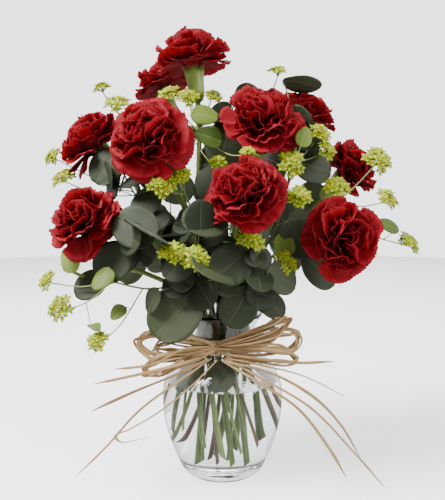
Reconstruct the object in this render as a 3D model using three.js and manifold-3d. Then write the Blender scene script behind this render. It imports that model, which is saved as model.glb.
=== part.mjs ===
// Red carnations with eucalyptus and bupleurum in a clear glass vase tied with a raffia bow.
// Millimetres, +Z up, the front is -Y. The origin is the middle of the vase's foot.
import * as THREE from "three";
import { mergeVertices } from "three/addons/utils/BufferGeometryUtils.js";
import Module from "manifold-3d";

// ---- driving dimensions ----
const GAP = 0.35; // clear space kept between neighbouring pieces
const FOOT_RADIUS = 31;
const BELLY_RADIUS = 57.7;
const NECK_RADIUS = 28.5;
const NECK_Z = 127;
const RIM_RADIUS = 38.5;
const RIM_Z = 158;
const BASE_THICKNESS = 10;
const WATER_Z = 92;

const CARNATION_STEM_RADIUS = 2.5;
const CALYX_LENGTH = 30;
const CALYX_RADIUS = 10;
const EUCALYPTUS_STEM_RADIUS = 1.5;
const BUPLEURUM_STEM_RADIUS = 1.3;
const PETIOLE_RADIUS = 0.9;
const LEAF_THICKNESS = 1.4;
const RAFFIA_RADIUS = 1.2;

// The stems cross the neck in two rings and twist on their way down to the base.
const OUTER_RING = { neck: 20, step: 24, foot: 31, footZ: 17 };
const INNER_RING = { neck: 11.5, step: 36, foot: 17, footZ: 14 };
const TWIST = 50; // degrees from the neck to the base
const UPPER_TWIST = 29; // degrees from the neck to just above the rim
const ABOVE_RIM_Z = 166;

// A bloom: middle of its petals, the way it faces, its radius, its slot and how high its stem ends.
const CARNATIONS = [
  {
    at: [-29, 15, 403], face: [-0.12, 0.05, 1], radius: 36,
    ring: INNER_RING, slot: 3, end: 2, via: [-22, 12, 280],
  },
  {
    at: [-61, 62, 381], face: [-0.3, 0.35, 0.9], radius: 27,
    ring: OUTER_RING, slot: 5, end: 30, via: [-38, 44, 260],
  },
  {
    at: [-128, 12, 322], face: [-0.7, -0.25, 0.65], radius: 34,
    ring: OUTER_RING, slot: 7, end: 24, via: [-72, 12, 235],
  },
  {
    at: [-64, -55, 324], face: [-0.15, -0.8, 0.55], radius: 37,
    ring: INNER_RING, slot: 6, end: 4, via: [-34, -14, 255],
  },
  {
    at: [-125, -42, 252], face: [-0.35, -0.55, 0.76], radius: 36,
    ring: OUTER_RING, slot: 8, end: 12, via: [-70, -14, 196], bud: [-136, -42, 213],
  },
  {
    at: [19, -78, 277], face: [-0.1, -0.75, 0.65], radius: 35,
    ring: OUTER_RING, slot: 12, end: 26, via: [13, -40, 215],
  },
  {
    at: [35, -28, 342], face: [0.05, -0.6, 0.8], radius: 37,
    ring: INNER_RING, slot: 8, end: 0, via: [14, -12, 250],
  },
  {
    at: [82, 38, 348], face: [0.35, 0.1, 0.93], radius: 32,
    ring: OUTER_RING, slot: 0.8, end: 2, via: [47, 25, 245],
  },
  {
    at: [127, 30, 296], face: [0.6, -0.35, 0.7], radius: 31,
    ring: OUTER_RING, slot: 0, end: 8, via: [74, 17, 222],
  },
  {
    at: [109, -48, 234], face: [0.35, -0.9, 0.25], radius: 36,
    ring: OUTER_RING, slot: 14, end: 16, via: [62, -14, 212],
  },
];

// A eucalyptus sprig: its stem's route above the rim, then its leaves as
// [x, y, z, length, and the way the leaf's face looks].
const EUCALYPTUS = [
  {
    name: "eucalyptus_sprig_front_left", ring: OUTER_RING, slot: 10, end: 20,
    route: [[-36, -34, 194], [-62, -46, 222], [-84, -48, 250]],
    leaves: [
      [-75, -62, 244, 44, -0.2, -0.9, 0.4], [-97, -50, 212, 42, -0.25, -0.9, 0.3],
      [-120, -38, 190, 33, -0.2, -0.8, 0.5], [-62, -80, 243, 52, 0.45, 0.15, 0.86],
      [-69, -28, 262, 34, -0.3, -0.7, 0.6],
    ],
  },
  {
    name: "eucalyptus_sprig_front", ring: OUTER_RING, slot: 11, end: 40,
    route: [[-18, -42, 190], [-24, -56, 218], [-22, -66, 245]],
    leaves: [
      [-42, -54, 166, 54, -0.1, -0.92, 0.35], [-18, -54, 188, 38, -0.55, -0.75, 0.3],
      [-62, -52, 178, 26, -0.75, -0.6, 0.2], [-15, -74, 251, 40, 0.1, -0.75, 0.65],
      [3, -52, 196, 34, 0.5, -0.8, 0.2],
    ],
  },
  {
    name: "eucalyptus_sprig_front_right", ring: OUTER_RING, slot: 13, end: 34,
    route: [[24, -34, 188], [26, -46, 205], [20, -56, 224]],
    leaves: [
      [7, -66, 212, 42, 0.1, -0.95, 0.3], [14, -52, 172, 40, 0.05, -0.97, 0.2],
      [44, -36, 172, 34, 0.5, -0.7, 0.5], [-8, -84, 210, 48, 0.55, -0.1, 0.83],
      [52, -52, 198, 34, 0.5, -0.8, 0.3],
    ],
  },
  {
    name: "eucalyptus_sprig_top", ring: INNER_RING, slot: 2, end: 1,
    route: [[4, 18, 215], [6, 22, 268], [4, 22, 315], [10, 28, 352]],
    leaves: [
      [3, 4, 318, 46, 0, -0.95, 0.3], [-10, -8, 282, 40, -0.4, -0.85, 0.3],
      [22, 42, 332, 42, 0.3, 0.85, 0.4], [-8, 44, 300, 42, -0.3, 0.9, 0.3],
      [28, 36, 362, 36, 0.5, 0.6, 0.6], [24, 30, 286, 38, 0.7, 0.5, 0.4],
    ],
  },
  {
    name: "eucalyptus_sprig_right", ring: INNER_RING, slot: 1, end: 4,
    route: [[34, 6, 205], [55, 6, 250], [64, 2, 300], [64, 2, 346]],
    leaves: [
      [84, -4, 296, 40, 0.3, -0.9, 0.3], [75, 14, 374, 38, 0.1, 0.35, 0.93],
      [92, -8, 200, 44, 0.4, -0.85, 0.3], [70, -24, 230, 40, 0.2, -0.9, 0.4],
      [48, 40, 300, 42, -0.1, 0.95, 0.3], [92, 50, 262, 40, 0.5, 0.8, 0.3],
    ],
  },
  {
    name: "eucalyptus_sprig_left", ring: INNER_RING, slot: 5, end: 6,
    route: [[-36, 8, 205], [-60, 6, 240], [-84, 2, 272], [-98, -4, 302]],
    leaves: [
      [-106, -14, 297, 40, -0.2, -0.9, 0.4], [-80, -18, 284, 38, -0.5, -0.3, 0.8],
      [-118, 2, 226, 40, -0.6, 0.2, 0.75], [-62, 30, 286, 40, -0.2, 0.9, 0.4],
      [-62, 30, 232, 44, -0.3, 0.9, 0.3], [-90, 30, 196, 36, -0.5, 0.8, 0.3],
    ],
  },
  {
    name: "eucalyptus_sprig_back_right", ring: OUTER_RING, slot: 2, end: 14,
    route: [[30, 34, 192], [44, 54, 222], [52, 68, 256]],
    leaves: [
      [66, 62, 208, 44, 0.6, 0.7, 0.4], [30, 72, 236, 44, -0.1, 0.95, 0.3],
      [74, 84, 250, 42, 0.5, 0.8, 0.3], [42, 84, 278, 42, 0, 0.85, 0.5],
      [22, 54, 184, 40, -0.1, 0.95, 0.2],
    ],
  },
  {
    name: "eucalyptus_sprig_back_left", ring: OUTER_RING, slot: 4, end: 42,
    route: [[-14, 42, 190], [-34, 60, 214], [-54, 74, 246]],
    leaves: [
      [-18, 74, 232, 44, 0.1, 0.9, 0.4], [-62, 60, 204, 42, -0.5, 0.8, 0.3],
      [-76, 80, 240, 42, -0.4, 0.85, 0.3], [-48, 92, 272, 42, 0, 0.85, 0.5],
      [-28, 60, 176, 40, -0.2, 0.95, 0.2],
    ],
  },
];

// A bupleurum sprig: its stem's route above the rim, its flower heads as
// [x, y, z, width, the way it faces, and the height its stalk leaves the stem at, where that
// isn't the nearest place] and its round leaves as leaves are given above.
const BUPLEURUM = [
  {
    name: "bupleurum_sprig_top_left", ring: OUTER_RING, slot: 6, end: 36,
    route: [[-52, 40, 215], [-84, 36, 270], [-100, 30, 318], [-98, 20, 345]],
    heads: [
      [-99, 4, 357, 27, 0, -0.5, 0.85], [-115, 14, 371, 18, -0.3, -0.2, 0.9],
      [-168, 32, 306, 20, -0.7, -0.5, 0.5, 262], [-153, 8, 287, 24, -0.4, -0.5, 0.75, 268],
    ],
    leaves: [[-80, 12, 352, 20, 0, -0.6, 0.8]],
  },
  {
    name: "bupleurum_sprig_top", ring: INNER_RING, slot: 4, end: 8,
    route: [[-16, 16, 220], [-22, 4, 280], [-20, -10, 326]],
    heads: [
      [-50, -6, 364, 20, -0.3, -0.6, 0.75], [-31, -14, 360, 20, 0, -0.7, 0.7],
      [-8, -4, 362, 18, 0.4, -0.4, 0.8], [-4, -36, 300, 14, 0, -0.7, 0.7],
      [22, -54, 309, 12, 0, -0.6, 0.8],
    ],
    leaves: [
      [-16, -26, 342, 26, 0, -0.85, 0.5], [-12, -30, 322, 26, 0.3, -0.85, 0.3],
    ],
  },
  {
    name: "bupleurum_sprig_upper_right", ring: INNER_RING, slot: 9, end: 10,
    route: [[34, -6, 215], [54, -14, 262], [68, -16, 300]],
    heads: [
      [60, -50, 301, 26, 0, -0.85, 0.5], [90, -16, 328, 20, 0.3, -0.6, 0.7],
      [96, -18, 312, 18, 0.4, -0.7, 0.5], [66, -56, 272, 22, 0, -0.8, 0.6],
    ],
    leaves: [[72, -40, 322, 20, 0.2, -0.9, 0.3]],
  },
  {
    name: "bupleurum_sprig_right", ring: INNER_RING, slot: 0, end: 3,
    route: [[42, 0, 205], [76, -8, 240], [104, -14, 262]],
    heads: [
      [146, -6, 304, 30, 0.2, -0.75, 0.6], [104, -30, 278, 25, 0, -0.8, 0.6],
      [152, -22, 268, 22, 0.4, -0.6, 0.6], [176, -10, 227, 24, 0.5, -0.6, 0.6],
    ],
    leaves: [[154, -16, 242, 22, 0.4, -0.6, 0.6], [112, -12, 250, 20, 0.4, -0.8, 0.3]],
  },
  {
    name: "bupleurum_sprig_low_left", ring: OUTER_RING, slot: 9, end: 16,
    route: [[-40, -24, 184], [-70, -36, 186], [-97, -58, 196]],
    heads: [
      [-144, -56, 174, 25, -0.4, -0.7, 0.6], [-157, -46, 196, 18, -0.5, -0.6, 0.6],
      [-111, -60, 144, 19, -0.2, -0.7, 0.7, 186.5],
    ],
    leaves: [
      [-104, -66, 200, 24, -0.2, -0.8, 0.6], [-92, -56, 168, 17, 0, -0.8, 0.6],
      [-113, -56, 155, 15, 0, -0.2, 1],
    ],
  },
  {
    name: "bupleurum_sprig_front", ring: INNER_RING, slot: 7, end: 12,
    route: [[-12, -32, 210], [-22, -50, 244], [-32, -52, 272]],
    heads: [
      [-52, -64, 283, 28, 0, -0.8, 0.6], [-36, -56, 291, 18, 0.2, -0.7, 0.7],
      [-42, -84, 226, 21, 0, -0.8, 0.6], [-22, -86, 221, 22, 0.1, -0.9, 0.4],
      [24, -72, 237, 24, 0.1, -0.8, 0.6], [56, -46, 212, 26, 0.3, -0.8, 0.5],
    ],
    leaves: [[56, -30, 226, 26, 0.2, -0.8, 0.6]],
  },
  {
    name: "bupleurum_sprig_back", ring: OUTER_RING, slot: 3, end: 12,
    route: [[8, 44, 205], [8, 64, 250], [6, 72, 292]],
    heads: [
      [-2, 84, 320, 26, 0, 0.7, 0.7], [-34, 72, 330, 22, -0.2, 0.7, 0.7],
      [36, 74, 318, 24, 0.2, 0.7, 0.7], [4, 92, 262, 22, 0, 0.9, 0.4],
      [86, 84, 296, 22, 0.4, 0.7, 0.6], [52, 12, 386, 18, 0, -0.2, 1],
    ],
    leaves: [[-14, 88, 286, 24, -0.2, 0.9, 0.4], [0, 74, 212, 22, 0, 0.95, 0.3]],
  },
];

// Raffia: the knot, the loops each side and the free tails, all as points their middles pass.
const KNOT = [-7, -36, 131];
const LOOPS = {
  raffia_loops_left: [
    [[-38, -44, 142], [-66, -47, 146], [-76, -49, 138], [-66, -52, 128], [-34, -49, 127]],
    [[-40, -50, 130], [-62, -56, 124], [-71, -55, 114], [-58, -58, 113], [-32, -52, 124]],
    [[-36, -40, 136], [-54, -43, 138], [-60, -46, 133], [-50, -46, 131], [-30, -43, 130]],
  ],
  raffia_loops_right: [
    [[24, -46, 146], [48, -46, 158], [60, -44, 159], [50, -48, 150], [22, -50, 140]],
    [[28, -45, 139], [56, -44, 148], [68, -44, 143], [64, -46, 132], [30, -50, 131]],
    [[26, -48, 133], [56, -48, 133], [68, -48, 123], [54, -52, 122], [22, -52, 125]],
    [[22, -42, 140], [44, -40, 150], [52, -40, 146], [42, -44, 140], [20, -44, 135]],
  ],
};
const TAILS = {
  raffia_tail_left_1: [[-16, -46, 129], [-46, -54, 125], [-72, -58, 120], [-96, -60, 118]],
  raffia_tail_left_2: [[-15, -50, 127], [-44, -62, 121], [-80, -64, 113], [-114, -62, 105]],
  raffia_tail_left_3: [[-13, -53, 125], [-42, -68, 115], [-80, -68, 99], [-116, -64, 81]],
  raffia_tail_left_4: [[-10, -46, 124], [-34, -66, 112], [-72, -68, 84], [-106, -48, 42], [-140, -20, 1.6]],
  raffia_tail_left_5: [
    [-5, -49, 123], [-28, -66, 104], [-58, -74, 82], [-82, -68, 66], [-96, -58, 56],
    [-92, -52, 48], [-68, -52, 52],
  ],
  raffia_tail_right_1: [[5, -50, 128], [34, -56, 126], [68, -50, 121], [101, -42, 120]],
  raffia_tail_right_2: [[4, -54, 126], [34, -62, 122], [72, -58, 111], [109, -52, 91]],
  raffia_tail_right_3: [[2, -57, 124], [38, -66, 118], [78, -48, 92], [114, -6, 48], [140, 26, 1.6]],
  raffia_tail_right_4: [[1, -52, 123], [32, -68, 108], [66, -64, 84], [96, -46, 42], [118, -24, 1.6]],
  raffia_tail_right_5: [[2, -46, 124], [36, -72, 112], [76, -74, 88], [116, -62, 44], [150, -46, 1.6]],
};

// ---- materials ----
function paint(colour, roughness) {
  return new THREE.MeshStandardMaterial({ color: colour, roughness: roughness, metalness: 0 });
}
const GLASS = () => paint(0xdfe8e4, 0.05);
const WATER = () => paint(0xe6f0ec, 0.05);
const PETAL = () => paint(0xb0232a, 0.7);
const CARNATION_GREEN = () => paint(0x8fa65a, 0.55);
const EUCALYPTUS_GREEN = () => paint(0x66755a, 0.65);
const BUPLEURUM_GREEN = () => paint(0xb7c24a, 0.6);
const RAFFIA = () => paint(0xcdb491, 0.8);

// ---- solids ----
const wasm = await Module();
wasm.setup();
const group = new THREE.Group();
const RADIANS = Math.PI / 180;
const UP = new THREE.Vector3(0, 0, 1);
const point = (p) => new THREE.Vector3(p[0], p[1], p[2]);

// A closed three.js geometry as a solid that can be joined and cut.
function solidOf(geometry) {
  const plain = geometry.clone();
  plain.deleteAttribute("normal");
  plain.deleteAttribute("uv");
  const merged = mergeVertices(plain, 1e-4);
  const index = merged.index.array;
  const kept = [];
  for (let i = 0; i < index.length; i += 3) {
    const [a, b, c] = [index[i], index[i + 1], index[i + 2]];
    if (a !== b && b !== c && c !== a) kept.push(a, b, c);
  }
  const mesh = new wasm.Mesh({
    numProp: 3,
    vertProperties: new Float32Array(merged.attributes.position.array),
    triVerts: new Uint32Array(kept),
  });
  return new wasm.Manifold(mesh);
}

// The largest of a solid's separate bodies.
function largestBody(solid) {
  const bodies = solid.decompose();
  return bodies.reduce((best, body) => (body.volume() > best.volume() ? body : best));
}

function addPiece(name, solid, material) {
  const mesh = solid.getMesh();
  const geometry = new THREE.BufferGeometry();
  geometry.setAttribute("position", new THREE.BufferAttribute(mesh.vertProperties, 3));
  geometry.setIndex(new THREE.BufferAttribute(mesh.triVerts, 1));
  const piece = new THREE.Mesh(geometry.toNonIndexed(), material);
  piece.geometry.computeVertexNormals();
  piece.name = name;
  group.add(piece);
}

// A round rod along a smooth curve through the points.
function rod(points, radius, sides, steps) {
  const section = new THREE.Shape();
  for (let i = 0; i < sides; i += 1) {
    const angle = (2 * Math.PI * i) / sides;
    const corner = [radius * Math.cos(angle), radius * Math.sin(angle)];
    if (i === 0) section.moveTo(...corner);
    else section.lineTo(...corner);
  }
  const path = new THREE.CatmullRomCurve3(points, false, "centripetal");
  return solidOf(new THREE.ExtrudeGeometry(section, { steps: steps, extrudePath: path }));
}

// A solid of revolution from a closed outline of [radius, z], turned to face a direction.
function turned(outline, segments, at, face) {
  const profile = outline.map(([r, z]) => new THREE.Vector2(r, z));
  const geometry = new THREE.LatheGeometry(profile, segments);
  geometry.rotateX(Math.PI / 2);
  const turn = new THREE.Quaternion().setFromUnitVectors(UP, point(face).normalize());
  geometry.applyQuaternion(turn);
  geometry.translate(at[0], at[1], at[2]);
  return solidOf(geometry);
}

// ---- stems ----
// Where a stem passes: its cut end, half-way down the vase, the neck and just above the rim.
function stemFoot(ring, slot, end) {
  const rim = slot * ring.step;
  const neck = (rim + UPPER_TWIST) * RADIANS;
  const foot = (rim + UPPER_TWIST + TWIST) * RADIANS;
  const neckPoint = point([ring.neck * Math.cos(neck), ring.neck * Math.sin(neck), NECK_Z]);
  const spread = ring.foot + end * 0.42;
  const footPoint = point([spread * Math.cos(foot), spread * Math.sin(foot), ring.footZ + end]);
  const middle = neckPoint.clone().lerp(footPoint, 0.5);
  middle.x *= 1.06;
  middle.y *= 1.06;
  const top = ring.neck * 1.12;
  const rimPoint = point([top * Math.cos(rim * RADIANS), top * Math.sin(rim * RADIANS), ABOVE_RIM_Z]);
  return [footPoint, middle, neckPoint, rimPoint];
}

// ---- carnations ----
function bloomSolid(bloom, grow) {
  const r = bloom.radius + grow;
  const z = bloom.radius / 37;
  const outline = [
    [0, -17 * z - grow], [0.3 * r, -16 * z - grow], [0.72 * r, -12 * z - grow], [0.97 * r, -4 * z],
    [r, 4 * z], [0.86 * r, 14 * z], [0.56 * r, 21 * z + grow], [0, 24 * z + grow],
  ];
  return turned(outline, 12, bloom.at, bloom.face);
}

function calyxBase(bloom) {
  const back = 17 * (bloom.radius / 37) + 2 * GAP + CALYX_LENGTH;
  return point(bloom.at).addScaledVector(point(bloom.face).normalize(), -back);
}

function carnationStemSolid(bloom, grow) {
  const base = calyxBase(bloom);
  const face = point(bloom.face).normalize();
  const outline = [
    [0, -0.5 - grow], [CARNATION_STEM_RADIUS + 1.2 + grow, -0.5 - grow], [0.72 * CALYX_RADIUS + grow, 5],
    [0.82 * CALYX_RADIUS + grow, 18], [CALYX_RADIUS + grow, CALYX_LENGTH], [0, CALYX_LENGTH],
  ];
  const calyx = turned(outline, 8, base.toArray(), bloom.face);
  const inside = base.clone().addScaledVector(face, 6);
  const below = base.clone().addScaledVector(face, -14);
  const route = [...stemFoot(bloom.ring, bloom.slot, bloom.end), point(bloom.via), below, inside];
  const stem = calyx.add(rod(route, CARNATION_STEM_RADIUS + grow, 5, 10));
  if (!bloom.bud) return stem;
  const bud = point(bloom.bud);
  const stalk = [inside, base, bud.clone().add(point([12, 12, -16])), bud.clone().add(point([0, 0, -8]))];
  return stem.add(rod(stalk, 1.6 + grow, 5, 5)).add(lump(bloom.bud, [8.5, 8.5, 12], grow));
}

// ---- leaves, flower heads and sprigs ----
// A round leaf as a thin disc whose length points away from where it is attached.
function leafSolid(leaf, attach, grow) {
  const middle = point(leaf);
  const length = leaf[3] + 2 * grow;
  const normal = point(leaf.slice(4)).normalize();
  const along = middle.clone().sub(attach);
  along.addScaledVector(normal, -along.dot(normal)).normalize();
  const across = new THREE.Vector3().crossVectors(normal, along);
  const outline = new THREE.Shape();
  const corners = 8;
  for (let i = 0; i < corners; i += 1) {
    const angle = (2 * Math.PI * (i + 0.5)) / corners;
    const corner = [0.5 * length * Math.cos(angle), 0.44 * length * Math.sin(angle)];
    if (i === 0) outline.moveTo(...corner);
    else outline.lineTo(...corner);
  }
  const thickness = LEAF_THICKNESS + 2 * grow;
  const geometry = new THREE.ExtrudeGeometry(outline, { depth: thickness, bevelEnabled: false, steps: 1 });
  geometry.translate(0, 0, -thickness / 2);
  geometry.applyMatrix4(new THREE.Matrix4().makeBasis(along, across, normal));
  geometry.translate(middle.x, middle.y, middle.z);
  return solidOf(geometry);
}

// The plain outer shape of a bupleurum flower head, a shallow cup of bracts.
function headSolid(head, grow) {
  const r = head[3] / 2 + grow;
  const outline = [[0, -0.45 * r - grow], [0.9 * r, -0.1 * r], [r, 0.25 * r + grow], [0, 0.55 * r + grow]];
  return turned(outline, 6, head, head.slice(4));
}

// The place on a route, above the rim, that is nearest to a point or to a given height.
function attachPoint(route, target, height) {
  const curve = new THREE.CatmullRomCurve3(route, false, "centripetal");
  const places = curve.getSpacedPoints(60).filter((p) => p.z > ABOVE_RIM_Z);
  const away = (p) => (height ? Math.abs(p.z - height) : p.distanceTo(target));
  return places.reduce((best, p) => (away(p) < away(best) ? p : best));
}

function sprigSolid(sprig, radius, grow) {
  const route = [...stemFoot(sprig.ring, sprig.slot, sprig.end), ...sprig.route.map(point)];
  let solid = rod(route, radius + grow, 5, 10);
  for (const leaf of sprig.leaves) {
    const attach = attachPoint(route, point(leaf));
    const petiole = [attach, attach.clone().lerp(point(leaf), 0.5), point(leaf)];
    solid = solid.add(rod(petiole, PETIOLE_RADIUS + grow, 4, 2));
    solid = solid.add(leafSolid(leaf, attach, grow));
  }
  for (const head of sprig.heads ?? []) {
    const target = point(head);
    const attach = attachPoint(route, target, head[7]);
    const face = point(head.slice(4)).normalize();
    const sag = -0.12 * attach.distanceTo(target);
    const bow = attach.clone().lerp(target, 0.6).addScaledVector(face, sag);
    solid = solid.add(rod([attach, bow, target], PETIOLE_RADIUS + grow, 4, 4));
    solid = solid.add(headSolid(head, grow));
  }
  return solid;
}

// ---- vase, water and raffia ----
function vaseSolid(grow) {
  const outside = [
    [0, -grow], [FOOT_RADIUS + grow, -grow], [38 + grow, 5.5], [43 + grow, 15], [48.5 + grow, 28],
    [53 + grow, 42], [56.5 + grow, 58], [BELLY_RADIUS + grow, 75], [56.5 + grow, 88],
    [52.5 + grow, 99], [45 + grow, 109], [36.5 + grow, 117], [30.5 + grow, 122],
    [NECK_RADIUS + grow, NECK_Z], [29.3 + grow, 137], [33.4 + grow, 149],
    [RIM_RADIUS + grow, RIM_Z - 1], [RIM_RADIUS - 1 + grow, RIM_Z + 0.4 + grow],
  ];
  const inside = [
    [35.6 - grow, RIM_Z - 0.6 + grow], [30.7 - grow, 150], [26.5 - grow, 137],
    [25.7 - grow, NECK_Z], [27.8 - grow, 120.5], [33.6 - grow, 114.6], [42.2 - grow, 106.5],
    [49.6 - grow, 97.3], [53.6 - grow, 87.2], [54.8 - grow, 75], [53.6 - grow, 58.5],
    [50.2 - grow, 43], [45.6 - grow, 29], [39.5 - grow, 18.5], [30 - grow, 12.2 + grow],
    [0, BASE_THICKNESS + grow],
  ];
  return turned([...outside, ...inside], 28, [0, 0, 0], [0, 0, 1]);
}

// The space that a stem and a thin film round it take up in the water.
function stemSpace(ring, slot, end, radius) {
  const [foot, middle, neck] = stemFoot(ring, slot, end);
  const below = foot.clone().addScaledVector(foot.clone().sub(middle).normalize(), 2);
  const corner = (radius + 2 * GAP) / Math.cos(Math.PI / 4);
  return rod([below, foot, middle, neck], corner, 4, 5);
}

// Water fills the vase to its level, clear of the glass.
function waterSolid() {
  const outline = [
    [0, BASE_THICKNESS + 2 * GAP], [28.6, 13], [38, 19.2],
    [44.4, 29.8], [49.1, 43.5], [52.3, 58.5], [53.4, 75], [52.3, 87], [50.4, WATER_Z], [0, WATER_Z],
  ];
  return turned(outline, 24, [0, 0, 0], [0, 0, 1]);
}

function wrapSolid() {
  const outline = [[27, 124], [31.6, 124], [32, 130], [32.4, 136], [27, 136], [27, 124]];
  return turned(outline, 24, [0, 0, 0], [0, 0, 1]);
}

function lump(at, radii, grow) {
  const ball = new THREE.SphereGeometry(1, 9, 6);
  ball.scale(...radii.map((radius) => radius + grow));
  ball.translate(...at);
  return solidOf(ball);
}

// A side's loops run together in a gathered lump where they leave the knot.
function loopsSolid(loops, side, grow) {
  const gather = lump([KNOT[0] + 8 * side, KNOT[1] - 2, KNOT[2]], [7, 3.6, 7], grow);
  const parts = loops.map((loop, i) => {
    const out = [KNOT[0], KNOT[1] + 0.6, KNOT[2] + 3.1 - 1.7 * i];
    const back = [KNOT[0], KNOT[1] - 0.7, KNOT[2] + 2.2 - 1.9 * i];
    return rod([out, ...loop, back].map(point), RAFFIA_RADIUS + grow, 5, 9);
  });
  return parts.reduce((joined, part) => joined.add(part), gather);
}

// ---- assembly: each piece is cut back where a neighbour already takes the space ----
const guards = [];

function place(name, material, make, cutters = guards) {
  let solid = make(0);
  const box = solid.boundingBox();
  for (const guard of cutters) {
    const other = guard.boundingBox();
    const apart = [0, 1, 2].some((i) => other.min[i] > box.max[i] || other.max[i] < box.min[i]);
    if (!apart) solid = solid.subtract(guard);
  }
  addPiece(name, largestBody(solid), material);
  guards.push(make(GAP));
}

place("vase", GLASS(), vaseSolid);
CARNATIONS.forEach((bloom, i) => {
  place(`carnation_bloom_${i + 1}`, PETAL(), (grow) => bloomSolid(bloom, grow));
});
place("raffia_knot", RAFFIA(), (grow) => lump(KNOT, [6, 4, 7], grow));
place("raffia_wrap", RAFFIA(), wrapSolid);
for (const [name, route] of Object.entries(TAILS)) {
  place(name, RAFFIA(), (grow) => rod(route.map(point), RAFFIA_RADIUS + grow, 8, 8));
}
for (const [name, loops] of Object.entries(LOOPS)) {
  const side = Math.sign(loops[0][0][0]);
  place(name, RAFFIA(), (grow) => loopsSolid(loops, side, grow));
}
CARNATIONS.forEach((bloom, i) => {
  place(`carnation_stem_${i + 1}`, CARNATION_GREEN(), (grow) => carnationStemSolid(bloom, grow));
});
for (const sprig of EUCALYPTUS) {
  place(sprig.name, EUCALYPTUS_GREEN(), (grow) => sprigSolid(sprig, EUCALYPTUS_STEM_RADIUS, grow));
}
for (const sprig of BUPLEURUM) {
  place(sprig.name, BUPLEURUM_GREEN(), (grow) => sprigSolid(sprig, BUPLEURUM_STEM_RADIUS, grow));
}
const stemSpaces = [
  ...CARNATIONS.map((c) => stemSpace(c.ring, c.slot, c.end, CARNATION_STEM_RADIUS)),
  ...EUCALYPTUS.map((s) => stemSpace(s.ring, s.slot, s.end, EUCALYPTUS_STEM_RADIUS)),
  ...BUPLEURUM.map((s) => stemSpace(s.ring, s.slot, s.end, BUPLEURUM_STEM_RADIUS)),
];
place("water", WATER(), waterSolid, stemSpaces);

export default group;
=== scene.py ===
import math
from functools import partial
import bpy
import numpy as np
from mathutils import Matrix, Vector


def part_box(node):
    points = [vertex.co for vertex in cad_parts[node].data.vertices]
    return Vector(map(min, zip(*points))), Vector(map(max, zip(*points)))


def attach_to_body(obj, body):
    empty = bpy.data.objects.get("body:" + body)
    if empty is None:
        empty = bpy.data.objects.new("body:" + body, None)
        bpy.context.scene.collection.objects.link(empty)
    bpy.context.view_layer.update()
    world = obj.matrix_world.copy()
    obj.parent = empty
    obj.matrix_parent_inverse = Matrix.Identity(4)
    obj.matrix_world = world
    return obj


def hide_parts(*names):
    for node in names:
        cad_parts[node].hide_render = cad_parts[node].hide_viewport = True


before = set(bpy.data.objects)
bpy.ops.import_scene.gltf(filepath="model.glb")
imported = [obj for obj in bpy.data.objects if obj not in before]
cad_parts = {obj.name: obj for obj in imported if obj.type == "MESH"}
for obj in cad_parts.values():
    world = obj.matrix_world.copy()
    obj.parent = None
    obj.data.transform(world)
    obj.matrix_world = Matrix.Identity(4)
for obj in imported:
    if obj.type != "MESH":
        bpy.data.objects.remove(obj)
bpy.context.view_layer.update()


# ---- Camera ----
# The view of someone sitting at the table, a little above the flowers, looking slightly down.
EYE = Vector((0, -0.700, 0.300))
LOOKED_AT = Vector((0, 0, 0.217))
LENS = 53.5

camera = bpy.data.objects.new("camera", bpy.data.cameras.new("camera"))
bpy.context.scene.collection.objects.link(camera)
camera.data.lens = LENS
camera.location = EYE
camera.rotation_euler = (LOOKED_AT - EYE).to_track_quat("-Z", "Y").to_euler()
bpy.context.scene.camera = camera


# ---- Free raffia tails ----
# Ten dry strands of raffia palm leaf, 2 to 3 mm wide, split by hand and left long below the
# knot. They are stiff, so they stand out and curve down; the long ones touch the table.
MM = 0.001
TAILS = {
    "raffia_tail_left_1": [(-16, -46, 129), (-46, -54, 125), (-72, -58, 120), (-96, -60, 118)],
    "raffia_tail_left_2": [(-15, -50, 127), (-44, -62, 121), (-80, -64, 113), (-114, -62, 105)],
    "raffia_tail_left_3": [(-13, -53, 125), (-42, -68, 115), (-80, -68, 99), (-116, -64, 81)],
    "raffia_tail_left_4": [
        (-10, -46, 124), (-34, -66, 112), (-72, -68, 84), (-106, -48, 42), (-140, -20, 1.6)],
    "raffia_tail_left_5": [
        (-5, -49, 123), (-28, -66, 104), (-58, -74, 82), (-82, -68, 66), (-96, -58, 56),
        (-92, -52, 48), (-68, -52, 52)],
    "raffia_tail_right_1": [(5, -50, 128), (34, -56, 126), (68, -50, 121), (101, -42, 120)],
    "raffia_tail_right_2": [(4, -54, 126), (34, -62, 122), (72, -58, 111), (109, -52, 91)],
    "raffia_tail_right_3": [
        (2, -57, 124), (38, -66, 118), (78, -48, 92), (114, -6, 48), (140, 26, 1.6)],
    "raffia_tail_right_4": [
        (1, -52, 123), (32, -68, 108), (66, -64, 84), (96, -46, 42), (118, -24, 1.6)],
    "raffia_tail_right_5": [
        (2, -46, 124), (36, -72, 112), (76, -74, 88), (116, -62, 44), (150, -46, 1.6)],
}
STRAND_WIDTH = 2.9
STRAND_THICKNESS = 0.6
# across and through the strand, in halves of its width and thickness
STRAND_SECTION = [(-1, 0), (-0.5, 1), (0, 1), (0.5, 1), (1, 0), (0.5, -1), (0, -1), (-0.5, -1)]


def through(points, count):
    """Evenly numbered places along a smooth centripetal curve through the points."""
    p = np.array(points, float)
    p = np.vstack([2 * p[0] - p[1], p, 2 * p[-1] - p[-2]])
    spans = len(p) - 3
    places = []
    for t in np.linspace(0, spans, count):
        i = min(int(t), spans - 1)
        a, b, c, d = p[i:i + 4]
        u, v, w = (max(np.linalg.norm(e) ** 0.5, 1e-3) for e in (b - a, c - b, d - c))
        start = ((b - a) / u - (c - a) / (u + v) + (c - b) / v) * v
        end = ((c - b) / v - (d - b) / (v + w) + (d - c) / w) * v
        x = t - i
        places.append(
            b + start * x + (3 * (c - b) - 2 * start - end) * x ** 2
            + (2 * (b - c) + start + end) * x ** 3)
    return np.array(places)


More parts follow.
